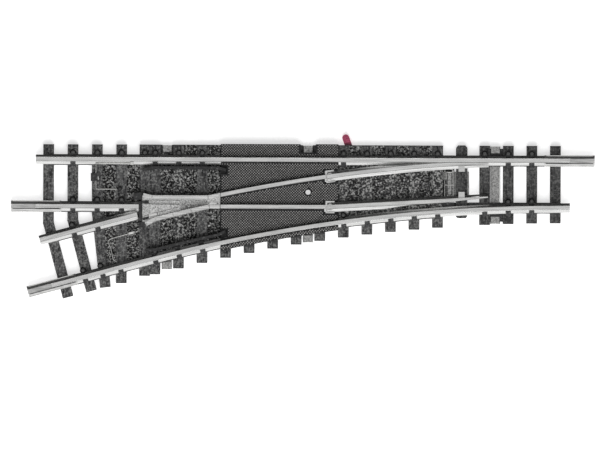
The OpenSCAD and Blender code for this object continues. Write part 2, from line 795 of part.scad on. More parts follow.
base_moulding();
centre_panel();
straight_stock_rail();
curved_stock_rail();
straight_closure_rail();
curved_closure_rail();
straight_exit_rail();
diverging_exit_rail();
frog_casting();
wing_insulators();
nose_insulator();
upper_check_rail();
lower_check_rail();
toe_joiner();
straight_exit_joiner();
diverging_exit_joiner();
toe_contact_strap();
centre_contact_strap();
frog_contact_strap();
upper_jumper_wire();
lower_jumper_wire();
jumper_knob();
jumper_latch();
upper_heel_clip();
lower_heel_clip();
heel_pins();
retaining_wire();
bottom_cover();
cover_rivets();
lever_pivot_pin();
hand_lever();
drive_plate();
drive_peg();
tie_bar();
curved_blade();
straight_blade();
curved_blade_lug();
straight_blade_lug();
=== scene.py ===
import json
import math

import bpy
import numpy as np
from mathutils import Matrix, Vector


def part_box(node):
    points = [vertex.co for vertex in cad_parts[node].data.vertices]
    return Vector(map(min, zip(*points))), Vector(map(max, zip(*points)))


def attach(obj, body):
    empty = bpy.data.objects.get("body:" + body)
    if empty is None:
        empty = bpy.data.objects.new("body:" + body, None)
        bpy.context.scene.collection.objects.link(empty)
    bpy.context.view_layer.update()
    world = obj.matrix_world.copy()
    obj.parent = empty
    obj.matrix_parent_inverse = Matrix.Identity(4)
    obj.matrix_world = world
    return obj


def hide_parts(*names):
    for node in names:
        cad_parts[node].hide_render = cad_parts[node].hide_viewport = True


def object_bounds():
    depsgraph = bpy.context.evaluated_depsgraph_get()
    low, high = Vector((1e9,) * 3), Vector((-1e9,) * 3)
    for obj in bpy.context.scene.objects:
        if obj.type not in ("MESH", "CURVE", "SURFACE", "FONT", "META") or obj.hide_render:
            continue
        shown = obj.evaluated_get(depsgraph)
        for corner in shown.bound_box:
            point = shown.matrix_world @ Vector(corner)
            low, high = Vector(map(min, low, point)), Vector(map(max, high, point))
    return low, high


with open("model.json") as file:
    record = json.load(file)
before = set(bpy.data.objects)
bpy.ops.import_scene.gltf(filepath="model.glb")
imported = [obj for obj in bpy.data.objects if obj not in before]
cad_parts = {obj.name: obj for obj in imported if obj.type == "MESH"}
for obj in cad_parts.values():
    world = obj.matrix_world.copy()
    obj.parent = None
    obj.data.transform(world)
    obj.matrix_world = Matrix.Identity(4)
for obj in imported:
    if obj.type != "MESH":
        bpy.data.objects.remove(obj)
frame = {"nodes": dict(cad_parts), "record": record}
cad_low, cad_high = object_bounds()

# ---------------------------------------------------------------- track geometry, in millimetres
MM = 0.001
RAIL_Y = 4.95
CURVE_X = 54.7
CURVE_R = 347.0
INNER_R = CURVE_R - RAIL_Y
OUTER_R = CURVE_R + RAIL_Y
TURN = math.radians(15)
EXIT_X = CURVE_X - CURVE_R * math.sin(TURN)
EXIT_Y = CURVE_R * math.cos(TURN) - CURVE_R
SEAT_Z = 2.2
HEAD_Z = SEAT_Z + 2.03
FLANGEWAY_Z = 3.05
BED_Z = 2.0
SLEEPER_W = 2.25
SLEEPER_HALF = 8.13
SLEEPER_GROW = 0.015
FIRST_SLEEPER_X = 53.2
SLEEPER_PITCH = 4.96
BED_HALF = 8.12
FAN_HALF = 6.03
BOLT_OFFSET = 1.44
STRAP_OPENING = 1.65
RUNNING = [n for n in range(18) if n != 4]
SPECKLED_SLEEPERS = (5, 6, 7, 8, 9, 16)
TWIN_X = -33.3
TWIN_EDGE_X = -34.42
TWIN_LOW = -19.5
FAN_X = [-38.2 - 5.13 * m for m in range(4)]
FAN_BEND_Y = [-8.0, -6.2, -7.8, -8.4]
FAN_TURN = [math.radians(a) for a in (0, 6.5, 15, 15)]
EDGE_R = CURVE_R - 6.07
LEVER_PIVOT = (10.06, 6.87)
LEVER_LEAN = math.radians(20)
WING_Y = RAIL_Y - 1.9
BLADE_BALLAST_Z = 2.185
BALLAST_Z = 2.3
GRAIN_RELIEF = 0.085


def node_box(name):
    low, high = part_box(name)
    return low / MM, high / MM


PANEL_LOW, PANEL_HIGH = node_box("centre_panel")
PANEL_X0, PANEL_X1 = PANEL_LOW.x, PANEL_HIGH.x
PANEL_Y1, PANEL_Z = PANEL_HIGH.y, PANEL_HIGH.z
PANEL_R = CURVE_R - 6.5
KNURL_PITCH = 0.57
KNURL_RISE = 0.2
KNURL_TIP = 0.16
KNURL_SPAN = 26
KNURL_LOW_Y = -17.0
NAIL_Y = -1.8


def arc_angle(x, r):
    return math.asin((CURVE_X - x) / r)


def arc_y(x, r):
    return r * math.cos(arc_angle(x, r)) - CURVE_R


def exit_point(d, side):
    return Vector((EXIT_X - d * math.cos(TURN) + side * math.sin(TURN),
                   EXIT_Y - d * math.sin(TURN) - side * math.cos(TURN)))


def sleeper_x(n):
    return FIRST_SLEEPER_X - n * SLEEPER_PITCH


# ---------------------------------------------------------------- node material helpers
class Shader:
    """A principled material with small helpers to chain nodes."""

    def __init__(self, name, metallic=0.0):
        self.mat = bpy.data.materials.new(name)
        self.mat.use_nodes = True
        self.tree = self.mat.node_tree
        self.bsdf = self.tree.nodes["Principled BSDF"]
        self.bsdf.inputs["Metallic"].default_value = metallic
        self.coords = self.tree.nodes.new("ShaderNodeTexCoord").outputs["Object"]

    def node(self, kind, **values):
        made = self.tree.nodes.new(kind)
        for key, value in values.items():
            setattr(made, key, value)
        return made

    def link(self, source, target):
        self.tree.links.new(source, target)

    def math(self, operation, a, b=None):
        made = self.node("ShaderNodeMath", operation=operation)
        for slot, value in enumerate((a, b)):
            if value is None:
                continue
            if isinstance(value, (int, float)):
                made.inputs[slot].default_value = value
            else:
                self.link(value, made.inputs[slot])
        return made.outputs[0]

    def scaled(self, vector, scale):
        made = self.node("ShaderNodeVectorMath", operation="MULTIPLY")
        self.link(vector, made.inputs[0])
        made.inputs[1].default_value = scale
        return made.outputs[0]

    def curve_coords(self):
        """Coordinates that follow the diverging curve: along it, across it, up."""
        moved = self.node("ShaderNodeVectorMath", operation="SUBTRACT")
        self.link(self.coords, moved.inputs[0])
        moved.inputs[1].default_value = (CURVE_X * MM, -CURVE_R * MM, 0)
        parts = self.node("ShaderNodeSeparateXYZ")
        self.link(moved.outputs[0], parts.inputs[0])
        angle = self.math("ARCTAN2", parts.outputs[0], parts.outputs[1])
        flat = self.node("ShaderNodeCombineXYZ")
        self.link(parts.outputs[0], flat.inputs[0])
        self.link(parts.outputs[1], flat.inputs[1])
        length = self.node("ShaderNodeVectorMath", operation="LENGTH")
        self.link(flat.outputs[0], length.inputs[0])
        out = self.node("ShaderNodeCombineXYZ")
        self.link(self.math("MULTIPLY", angle, CURVE_R * MM), out.inputs[0])
        self.link(length.outputs["Value"], out.inputs[1])
        self.link(parts.outputs[2], out.inputs[2])
        return out.outputs[0]

    def noise(self, vector, scale, detail=4.0, rough=0.6, distortion=0.0):
        made = self.node("ShaderNodeTexNoise")
        self.link(vector, made.inputs["Vector"])
        made.inputs["Scale"].default_value = scale
        made.inputs["Detail"].default_value = detail
        made.inputs["Roughness"].default_value = rough
        made.inputs["Distortion"].default_value = distortion
        return made.outputs["Fac"]

    def voronoi(self, vector, scale, output="Distance"):
        made = self.node("ShaderNodeTexVoronoi")
        self.link(vector, made.inputs["Vector"])
        made.inputs["Scale"].default_value = scale
        return made.outputs[output]

    def between(self, axis, low, high):
        """0 to 1 as the coordinate on an axis (0 to 2) goes from low to high, in millimetres."""
        parts = self.node("ShaderNodeSeparateXYZ")
        self.link(self.coords, parts.inputs[0])
        made = self.node("ShaderNodeMapRange")
        self.link(parts.outputs[axis], made.inputs[0])
        made.inputs["From Min"].default_value = low * MM
        made.inputs["From Max"].default_value = high * MM
        return made.outputs[0]

    def ramp(self, value, stops):
        made = self.node("ShaderNodeValToRGB")
        self.link(value, made.inputs[0])
        elements = made.color_ramp.elements
        while len(elements) < len(stops):
            elements.new(0.5)
        for element, (place, colour) in zip(elements, stops):
            element.position = place
            rgb = colour if isinstance(colour, tuple) else (colour,) * 3
            element.color = (*rgb, 1)
        return made.outputs[0]

    def mix(self, factor, a, b, blend="MIX"):
        made = self.node("ShaderNodeMix", data_type="RGBA", blend_type=blend)
        for slot, value in ((0, factor), (6, a), (7, b)):
            if isinstance(value, (int, float)) and slot == 0:
                made.inputs[slot].default_value = value
            elif isinstance(value, tuple):
                made.inputs[slot].default_value = (*value, 1)
            else:
                self.link(value, made.inputs[slot])
        return made.outputs[2]

    def bump(self, height, strength, distance, normal=None):
        made = self.node("ShaderNodeBump")
        made.inputs["Strength"].default_value = strength
        made.inputs["Distance"].default_value = distance
        self.link(height, made.inputs["Height"])
        if normal is not None:
            self.link(normal, made.inputs["Normal"])
        return made.outputs[0]

    def finish(self, colour, rough, normal):
        self.link(colour, self.bsdf.inputs["Base Color"])
        self.link(rough, self.bsdf.inputs["Roughness"])
        self.link(normal, self.bsdf.inputs["Normal"])
        return self.mat


def moulded_plastic(name, dark, light, speck, rough=0.55):
    """Matt moulded plastic with fine mottling, dusty specks and rubbed highlights."""
    s = Shader(name)
    broad = s.noise(s.coords, 260, 3)
    fine = s.noise(s.coords, 1900, 5, 0.7)
    colour = s.mix(s.ramp(fine, [(0.42, 0.0), (0.6, 1.0)]), dark, light)
    colour = s.mix(s.ramp(broad, [(0.35, 0.0), (0.75, 0.35)]), colour, light)
    dust = s.ramp(s.noise(s.coords, 2900, 2), [(0.6, 0.0), (0.66, 0.8)])
    colour = s.mix(dust, colour, speck)
    bumpy = s.bump(fine, 0.55, 0.00006)
    bumpy = s.bump(s.noise(s.coords, 9000, 2), 0.35, 0.00003, bumpy)
    return s.finish(colour, s.ramp(fine, [(0.3, rough - 0.12), (0.7, rough + 0.15)]), bumpy)


def stone_plastic(name):
    """Moulded ballast: every stone has its own grey, with painted shade in the low spots of the fine bump
    and painted highlights on its high spots, strongest on the stone tops.
    """
    s = Shader(name)
    each = s.voronoi(s.coords, 2700, "Color")
    parts = s.node("ShaderNodeSeparateColor")
    s.link(each, parts.inputs[0])
    greys = [(0.0, 0.008), (0.6, 0.025), (0.84, 0.07), (0.93, 0.25), (1.0, 0.6)]
    colour = s.ramp(parts.outputs[0], greys)
    # Painted highlight: the high spots of the fine bump are made lighter, most of all near the stone tops.
    top = s.between(2, BED_Z + 0.02, BED_Z + 0.2)
    fine = s.noise(s.coords, 2500, 2, 0.6)
    chips = s.ramp(fine, [(0.51, 0.0), (0.57, 1.0)])
    painted_top_highlight = s.math("MULTIPLY", s.ramp(top, [(0.0, 0.35), (0.6, 1.0)]), chips)
    colour = s.mix(s.math("MULTIPLY", painted_top_highlight, 0.9), colour, (0.44, 0.44, 0.43))
    # Painted shade: the low spots of the fine bump are made near black.
    hollows = s.ramp(fine, [(0.4, 0.95), (0.49, 0.0)])
    colour = s.mix(hollows, colour, (0.004, 0.004, 0.004))
    bumpy = s.bump(fine, 0.7, 0.00008)
    return s.finish(colour, s.ramp(fine, [(0.3, 0.42), (0.7, 0.75)]), bumpy)


def ringed_plastic(name, low_z, high_z):
    """Plastic with painted shade below a ring and a painted highlight on its cap: near black low down,
    lighter from low_z to high_z.
    """
    s = Shader(name)
    # Painted shade and highlight by height: near black below low_z, lighter above high_z.
    shade_to_highlight = s.between(2, low_z, high_z)
    fine = s.noise(s.coords, 2600, 4, 0.7)
    colour = s.mix(shade_to_highlight, (0.007, 0.007, 0.007), (0.11, 0.11, 0.11))
    colour = s.mix(s.ramp(fine, [(0.45, 0.0), (0.7, 0.3)]), colour, (0.09, 0.09, 0.09))
    return s.finish(colour, s.ramp(fine, [(0.3, 0.4), (0.7, 0.6)]), s.bump(fine, 0.4, 0.00005))


def knurled_plastic(name, floor_z, tip_z):
    """Knurled plastic: painted shade in the valleys and a painted highlight on the tips, set by height and
    broken up by fine noise.
    """
    s = Shader(name)
    # Painted shade low down and painted highlight on the tips, by height.
    tip = s.between(2, floor_z, tip_z)
    fine = s.noise(s.coords, 3000, 5, 0.7)
    broad = s.noise(s.coords, 500, 3)
    tops = s.ramp(tip, [(0.42, 0.0), (0.56, 1.0)])
    painted_tip_highlight = s.math("MULTIPLY", tops, s.ramp(fine, [(0.3, 0.4), (0.62, 1.0)]))
    colour = s.mix(painted_tip_highlight, (0.006, 0.006, 0.007), (0.56, 0.55, 0.54))
    colour = s.mix(s.ramp(broad, [(0.4, 0.0), (0.7, 0.2)]), colour, (0.1, 0.1, 0.1))
    bumpy = s.bump(fine, 0.6, 0.00007)
    return s.finish(colour, s.ramp(fine, [(0.3, 0.36), (0.7, 0.6)]), bumpy)


def grain_plastic(name, low, high, speckle):
    """Sleeper tops: plastic moulded as wood, with streaks along Y, darker towards the toe."""
    s = Shader(name)
    streaks = s.noise(s.scaled(s.coords, (1, 0.09, 1)), 2700, 4, 0.65, 0.15)
    mottle = s.noise(s.coords, 1900, 4, 0.7)
    colour = s.mix(s.ramp(streaks, [(0.4, 0.0), (0.56, 1.0)]), low, high)
    colour = s.mix(s.ramp(mottle, [(0.45, 0.0), (0.7, 0.6)]), colour, (0.14, 0.14, 0.14))
    chips = s.noise(s.coords, 2500, 2, 0.6)
    hollows = s.ramp(chips, [(0.38, speckle), (0.48, 0.0)])
    colour = s.mix(hollows, colour, (0.004, 0.004, 0.004))
    rubbed = s.ramp(chips, [(0.53, 0.0), (0.59, speckle)])
    colour = s.mix(rubbed, colour, (0.42, 0.42, 0.41))
    toe = s.between(0, 29, 33)
    colour = s.mix(s.math("MULTIPLY", toe, 0.42), colour, (0.012, 0.012, 0.012))
    bumpy = s.bump(streaks, 1.0, 0.0001)
    bumpy = s.bump(mottle, 0.3, 0.00004, bumpy)
    return s.finish(colour, s.ramp(mottle, [(0.3, 0.45), (0.7, 0.7)]), bumpy)


def darker(tone, factor):
    return tuple(c * factor for c in tone)


def streaked_metal(name, tone, rough, curved=False, contrast=0.35, across=9000, along=120):
    """Drawn or rolled metal with long streaks, faint stains and small scratches."""
    s = Shader(name, metallic=1.0)
    base = s.curve_coords() if curved else s.coords
    drawn = s.noise(s.scaled(base, (along / across, 1, 1)), across, 4, 0.65)
    stain = s.noise(s.scaled(base, (0.25, 1, 1)), 700, 4, 0.6, 0.3)
    colour = s.mix(s.ramp(drawn, [(0.34, 0.0), (0.6, 1.0)]), darker(tone, 1 - contrast), tone)
    colour = s.mix(s.ramp(stain, [(0.52, 0.0), (0.78, 0.55)]), colour, darker(tone, 0.62))
    pits = s.ramp(s.voronoi(s.coords, 2100), [(0.0, 1.0), (0.09, 0.0)])
    colour = s.mix(s.math("MULTIPLY", pits, 0.5), colour, darker(tone, 0.4))
    bumpy = s.bump(drawn, 0.35, 0.00003)
    bumpy = s.bump(stain, 0.2, 0.00005, bumpy)
    return s.finish(colour, s.ramp(drawn, [(0.3, rough + 0.14), (0.7, rough - 0.06)]), bumpy)


def cast_metal(name, tone, rough):
    """Cast or pressed metal with a granular skin."""
    s = Shader(name, metallic=0.85)
    grain = s.noise(s.coords, 2900, 4, 0.8)
    broad = s.noise(s.coords, 600, 3)
    colour = s.mix(s.ramp(grain, [(0.4, 0.0), (0.56, 1.0)]), darker(tone, 0.4), tone)
    colour = s.mix(s.ramp(broad, [(0.5, 0.0), (0.8, 0.4)]), colour, darker(tone, 0.7))
    bumpy = s.bump(grain, 0.6, 0.00006)
    return s.finish(colour, s.ramp(grain, [(0.3, rough + 0.15), (0.7, rough - 0.08)]), bumpy)


def lever_plastic(name):
    """Crimson moulded plastic, rubbed paler on its high spots."""
    s = Shader(name)
    fine = s.noise(s.coords, 2400, 5, 0.7)
    broad = s.noise(s.coords, 700, 3)
    dark, light = (0.27, 0.03, 0.075), (0.46, 0.07, 0.15)
    colour = s.mix(s.ramp(fine, [(0.36, 0.0), (0.66, 1.0)]), dark, light)
    colour = s.mix(s.ramp(broad, [(0.5, 0.0), (0.75, 0.4)]), colour, (0.55, 0.13, 0.23))
    s.bsdf.inputs["Coat Weight"].default_value = 0.25
    s.bsdf.inputs["Coat Roughness"].default_value = 0.3
    bumpy = s.bump(fine, 0.4, 0.00005)
    return s.finish(colour, s.ramp(fine, [(0.3, 0.32), (0.7, 0.52)]), bumpy)


BOLT = ringed_plastic("bolt_plastic", SEAT_Z + 0.5, SEAT_Z + 0.62)
BED = moulded_plastic("bed_plastic", (0.026, 0.026, 0.027), (0.07, 0.07, 0.071), (0.2, 0.2, 0.2))
PANEL = knurled_plastic("knurled_plastic", PANEL_Z - 0.03, PANEL_Z + KNURL_RISE)
BLACK = moulded_plastic("black_plastic", (0.012, 0.012, 0.012), (0.04, 0.04, 0.041),
                        (0.13, 0.13, 0.13), 0.42)
STONE = stone_plastic("ballast_plastic")
GRAIN = grain_plastic("sleeper_plastic", (0.008, 0.008, 0.009), (0.12, 0.12, 0.12), 0.36)
SPECKLED = grain_plastic("speckled_sleeper_plastic", (0.014, 0.014, 0.015), (0.075, 0.075, 0.075),
                         0.9)
RAIL = streaked_metal("rail_metal", (0.94, 0.94, 0.93), 0.23)
RAIL_CURVED = streaked_metal("rail_metal_curved", (0.94, 0.94, 0.93), 0.23, curved=True)
JOINER = streaked_metal("joiner_metal", (0.85, 0.85, 0.84), 0.28, contrast=0.42,
                        across=7000, along=300)
STRAP = cast_metal("strap_metal", (0.6, 0.6, 0.59), 0.32)
BRIGHT_WIRE = streaked_metal("bright_wire_metal", (0.97, 0.97, 0.95), 0.22, contrast=0.15,
                             across=6000, along=900)
CAST = cast_metal("cast_metal", (0.86, 0.86, 0.85), 0.36)
FROG = cast_metal("frog_metal", (0.93, 0.93, 0.92), 0.33)
PIN = streaked_metal("pin_metal", (0.7, 0.7, 0.69), 0.33, contrast=0.3, across=5000, along=5000)
LEVER = lever_plastic("lever_plastic")

CURVED_NODES = {"curved_stock_rail", "curved_closure_rail", "diverging_exit_rail", "curved_blade"}
SLOT_MATERIALS = {"bed_plastic": BED, "black_plastic": BLACK, "rail_metal": RAIL, "cast_metal": CAST,
                  "strap_metal": STRAP, "spring_wire": BRIGHT_WIRE, "pin_steel": PIN,
                  "lever_plastic": LEVER}
NODE_MATERIALS = {"centre_panel": PANEL, "toe_joiner": JOINER, "straight_exit_joiner": JOINER,
                  "diverging_exit_joiner": JOINER, "tie_bar": GRAIN, "frog_casting": FROG}
EDGE_WIDTH = {"rail_metal": 0.05, "cast_metal": 0.07, "black_plastic": 0.07, "lever_plastic": 0.16,
              "strap_metal": 0.05, "pin_steel": 0.04, "spring_wire": 0.04}


def add_bevel(obj, width):
    soft = obj.modifiers.new("soft_edges", "BEVEL")
    soft.width = width * MM
    soft.segments = 2
    soft.limit_method = "ANGLE"
    soft.angle_limit = math.radians(35)
    soft.use_clamp_overlap = True
    soft.harden_normals = False


def dress_cad():
    """Gives each carried CAD node its material and fine rounded edges."""
    slots = {p["node"]: p["material_slot"] for p in frame["record"]["subparts"]}
    for name, obj in frame["nodes"].items():
        material = NODE_MATERIALS.get(name, SLOT_MATERIALS[slots[name]])
        if name in CURVED_NODES:
            material = RAIL_CURVED
        obj.data.materials.clear()
        obj.data.materials.append(material)
        if slots[name] in EDGE_WIDTH:
            add_bevel(obj, EDGE_WIDTH[slots[name]])


# ---------------------------------------------------------------- mesh helpers
def ring_faces(rings, sides):
    """The faces of a closed skin over rings of points: two end caps and the bands between."""
    faces = [tuple(range(sides))[::-1], tuple((rings - 1) * sides + k for k in range(sides))]
    for i in range(rings - 1):
        for k in range(sides):
            n = (k + 1) % sides
            faces.append((i * sides + k, i * sides + n, (i + 1) * sides + n, (i + 1) * sides + k))
    return faces


class Builder:
    """Collects closed solids, in millimetres, into one mesh."""

    def __init__(self):
        self.verts = []
        self.faces = []

    def add(self, verts, faces):
        start = len(self.verts)
        self.verts.extend(verts)
        self.faces.extend([tuple(start + i for i in f) for f in faces])

    def grid_solid(self, points, bottom):
        """A closed slab from a grid of top points (rows of columns) down to height bottom."""
        rows, cols = len(points), len(points[0])
        verts = [tuple(p) for row in points for p in row]
        faces = []
        for i in range(rows - 1):
            for j in range(cols - 1):
                a = i * cols + j
                faces.append((a, a + cols, a + cols + 1, a + 1))
        rim = list(range(cols))
        rim += [i * cols + cols - 1 for i in range(1, rows)]
        rim += [(rows - 1) * cols + j for j in range(cols - 2, -1, -1)]
        rim += [i * cols for i in range(rows - 2, 0, -1)]
        low = len(verts)
        verts += [(verts[k][0], verts[k][1], bottom) for k in rim]
        count = len(rim)
        for k in range(count):
            after = (k + 1) % count
            faces.append((rim[k], rim[after], low + after, low + k))
        faces.append(tuple(low + k for k in range(count)))
        self.add(verts, faces)

    def tube(self, path, radius, sides=10):
        """A round wire along a path, with closed ends."""
        path = [Vector(p) for p in path]
        up = Vector((0, 0, 1))
        rings = []
        for i, p in enumerate(path):
            ahead = path[min(i + 1, len(path) - 1)] - path[max(i - 1, 0)]
            ahead.normalize()
            side = ahead.cross(up)
            if side.length < 0.05:
                side = ahead.cross(Vector((1, 0, 0)))
            side.normalize()
            over = side.cross(ahead).normalized()
            rings.append([tuple(p + radius * (math.cos(a) * side + math.sin(a) * over))
                          for a in (2 * math.pi * k / sides for k in range(sides))])
        self.add([v for ring in rings for v in ring], ring_faces(len(rings), sides))

    def lathe(self, centre, profile, sides=20):
        """A turned shape: profile is a list of (radius, height), and the ends close on the axis."""
        cx, cy, cz = centre
        verts = []
        for r, z in profile:
            for k in range(sides):
                a = 2 * math.pi * k / sides
                verts.append((cx + r * math.cos(a), cy + r * math.sin(a), cz + z))
        self.add(verts, ring_faces(len(profile), sides))

    def block(self, centre, size, angle=0.0, top=0.8):
        """A pad whose top is smaller than its foot by the factor top; centre is the middle of its foot."""
        c, s = math.cos(angle), math.sin(angle)
        verts = []
        for z, k in ((0, 1.0), (size[2] * 0.7, 0.97), (size[2], top)):
            for u, v in ((-1, -1), (1, -1), (1, 1), (-1, 1)):
                x, y = u * k * size[0] / 2, v * k * size[1] / 2
                verts.append((centre[0] + c * x - s * y, centre[1] + s * x + c * y, centre[2] + z))
        faces = [(3, 2, 1, 0), (8, 9, 10, 11)]
        for low in (0, 4):
            for k in range(4):
                n = (k + 1) % 4
                faces.append((low + k, low + n, low + 4 + n, low + 4 + k))
        self.add(verts, faces)

    def build(self, name, material, body, slot, smooth_angle=None):
        mesh = bpy.data.meshes.new(name)
        mesh.from_pydata([(x * MM, y * MM, z * MM) for x, y, z in self.verts], [], self.faces)
        mesh.validate()
        mesh.update()
        obj = bpy.data.objects.new(name, mesh)
        bpy.context.scene.collection.objects.link(obj)
        mesh.materials.append(material)
        if smooth_angle is not None:
            mesh.shade_smooth()
            mesh.set_sharp_from_angle(angle=math.radians(smooth_angle))
        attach(obj, body)
        return obj


def rounded_path(points, radius, steps=5):
    """A path through the points with its corners rounded."""
    points = [Vector(p) for p in points]
    out = [points[0]]
    for before, corner, after in zip(points, points[1:], points[2:]):
        a, b = before - corner, after - corner
        reach = min(radius, a.length * 0.45, b.length * 0.45)
        start, end = corner + a.normalized() * reach, corner + b.normalized() * reach
        for k in range(steps + 1):
            t = k / steps
            out.append((1 - t) ** 2 * start + 2 * t * (1 - t) * corner + t * t * end)
    out.append(points[-1])
    return out


# ---------------------------------------------------------------- moulded ballast
STONE_SIZE = 0.48
CHIP_SIZE = 0.21
CELL_TABLE = (97, 89)


def cell_field(xs, ys, size, seed):
    """For each point: the distance to the nearest stone's edge, and that stone's random numbers."""
    rng = np.random.default_rng(seed)
    table = rng.random((*CELL_TABLE, 5))
    gx, gy = np.floor(xs / size).astype(int), np.floor(ys / size).astype(int)
    best = np.full(xs.shape, 1e9)
    second = np.full(xs.shape, 1e9)
    info = np.zeros(xs.shape + (5,))
    offset = np.zeros(xs.shape + (2,))
    for dx in (-1, 0, 1):
        for dy in (-1, 0, 1):
            cx, cy = gx + dx, gy + dy
            cell = table[cx % CELL_TABLE[0], cy % CELL_TABLE[1]]
            px = (cx + 0.15 + 0.7 * cell[..., 0]) * size
            py = (cy + 0.15 + 0.7 * cell[..., 1]) * size
            d = np.hypot(xs - px, ys - py)
            nearer = d < best
            second = np.where(nearer, best, np.minimum(second, d))
            info[nearer] = cell[nearer]
            offset[nearer] = np.stack((xs - px, ys - py), -1)[nearer]
            best = np.where(nearer, d, best)
    return second - best, info, offset


def ballast_heights(xs, ys, top):
    """Height of the moulded stones, from the bed up to top."""
    edge, info, offset = cell_field(xs, ys, STONE_SIZE, 11)
    rise = np.clip(edge / 0.19, 0, 1) ** 0.6
    lift = 0.35 + 0.65 * info[..., 2]
    slopes = (info[..., 3:5] - 0.5) * offset * 1.6
    tilt = slopes[..., 0] + slopes[..., 1]
    edge2, info2, _ = cell_field(xs, ys, CHIP_SIZE, 5)
    chips = 0.22 * (np.clip(edge2 / 0.09, 0, 1) * info2[..., 2] - 0.5)
    level = np.clip(rise * (lift + tilt + chips), 0, 1)
    return BED_Z - 0.04 + level * (top - BED_Z + 0.04)


def ballast_bay(builder, x0, x1, y_low, y_high, top, cell=0.085):
    cols = max(2, int((x1 - x0) / cell))
    rows = max(2, int((y_high((x0 + x1) / 2) - y_low((x0 + x1) / 2)) / cell))
    xs = np.linspace(x0, x1, cols + 1)
    low = np.array([y_low(x) for x in xs])
    high = np.array([y_high(x) for x in xs])
    t = np.linspace(0, 1, rows + 1)[:, None]
    gx = np.repeat(xs[None, :], rows + 1, 0)
    gy = low[None, :] * (1 - t) + high[None, :] * t
    gz = ballast_heights(gx, gy, top)
    points = [[(gx[i, j], gy[i, j], gz[i, j]) for i in range(rows + 1)] for j in range(cols + 1)]
    builder.grid_solid(points, BED_Z - 0.15)


def bed_low(x):
    return arc_y(x, EDGE_R) + 0.04 if x > EXIT_X - 1.2 else exit_low(x, FAN_HALF)


def bed_high(_x):
    return BED_HALF


def fan_high(_x):
    return FAN_HALF


def exit_low(x, side):
    """Y at x of the line parallel to the exit, side outside its centre line."""
    p = exit_point(0, side)
    return p.y + (x - p.x) * math.tan(TURN)


def bay_edges(x0, x1):
    """The low and high edge of a bay; the frog strap's two end openings are left clear of stones."""
    strap_low, strap_high = node_box("frog_contact_strap")
    if strap_low.x > x0 - 0.6 and strap_high.x < x1 + 0.6:
        low_end, high_end = strap_low.y + STRAP_OPENING, strap_high.y - STRAP_OPENING
        return (lambda x: max(bed_low(x), low_end)), (lambda x: high_end)
    return bed_low, bed_high


def moulded_ballast():
    stones = Builder()
    half = SLEEPER_W / 2
    places = [sleeper_x(n) for n in (9, 8, 7, 6, 5)]
    for left, right in zip(places, places[1:]):
        ballast_bay(stones, left + half, right - half, bed_low, bed_high, BLADE_BALLAST_Z)
    places = [sleeper_x(n) for n in (17, 16, 15)]
    for left, right in zip(places, places[1:]):
        low, high = bay_edges(left + half, right - half)
        ballast_bay(stones, left + half, right - half, low, high, BALLAST_Z)
    ballast_bay(stones, sleeper_x(15) + half, PANEL_X0 - 0.03, bed_low, bed_high, BALLAST_Z)
    ballast_bay(stones, FAN_X[0] + half, TWIN_EDGE_X, bed_low, fan_high, BALLAST_Z)
    ballast_bay(stones, FAN_X[1] + half, FAN_X[0] - half, bed_low, fan_high, BALLAST_Z)
    return stones.build("moulded_ballast", STONE, "base", "bed_plastic")


# ---------------------------------------------------------------- sleeper tops
def grain_height(u, v, seed):
    """Height of the moulded wood grain above the sleeper, from place across and along it."""
    wander = 0.05 * np.sin(v * 1.1 + seed) + 0.03 * np.sin(v * 2.7 + seed * 1.7)
    lines = np.zeros_like(u)
    for k, (pitch, depth) in enumerate(((0.42, 0.5), (0.19, 0.35), (0.11, 0.15))):
        phase = seed * (k + 1.3)
        lines += depth * (0.5 + 0.5 * np.sin((u + wander) * 2 * math.pi / pitch + phase
                                              + 0.8 * np.sin(v * (0.7 + 0.4 * k) + phase)))
    knots = 0.25 * np.sin(v * 3.1 + seed) * np.sin(u * 5.3 + seed * 2)
    return GRAIN_RELIEF * np.clip(lines + knots * 0.4, 0, 1)


def plank(builder, origin, angle, v0, v1, seed, moving_zone=None):
    """The grained top of one sleeper, from v0 to v1 along it, with rounded edges.

    The grain stays low over the moving_zone of Y, where the blades slide."""
    half = SLEEPER_W / 2 + SLEEPER_GROW
    cols, rows = 34, max(4, int((v1 - v0) / 0.3))
    u, v = np.meshgrid(np.linspace(-half, half, cols), np.linspace(v0, v1, rows), indexing="ij")
    height = grain_height(u, v, seed)
    edge = np.clip((half - np.abs(u)) / 0.16, 0, 1)
    ends = np.clip(np.minimum(v - v0, v1 - v) / 0.14, 0, 1)
    z = SEAT_Z + 0.004 + height * np.sqrt(edge * ends)
    z = np.where((edge < 0.05) | (ends < 0.05), SEAT_Z - 0.08, z)
    c, s = math.cos(angle), math.sin(angle)
    x = origin[0] + u * c - v * s
    y = origin[1] + u * s + v * c
    if moving_zone is not None:
        inside = (y > moving_zone[0]) & (y < moving_zone[1])
        z = np.where(inside, np.minimum(z, SEAT_Z + 0.016), z)
    points = [[(x[i, j], y[i, j], z[i, j]) for j in range(rows)] for i in range(cols)]
    builder.grid_solid(points, SEAT_Z - 0.3)


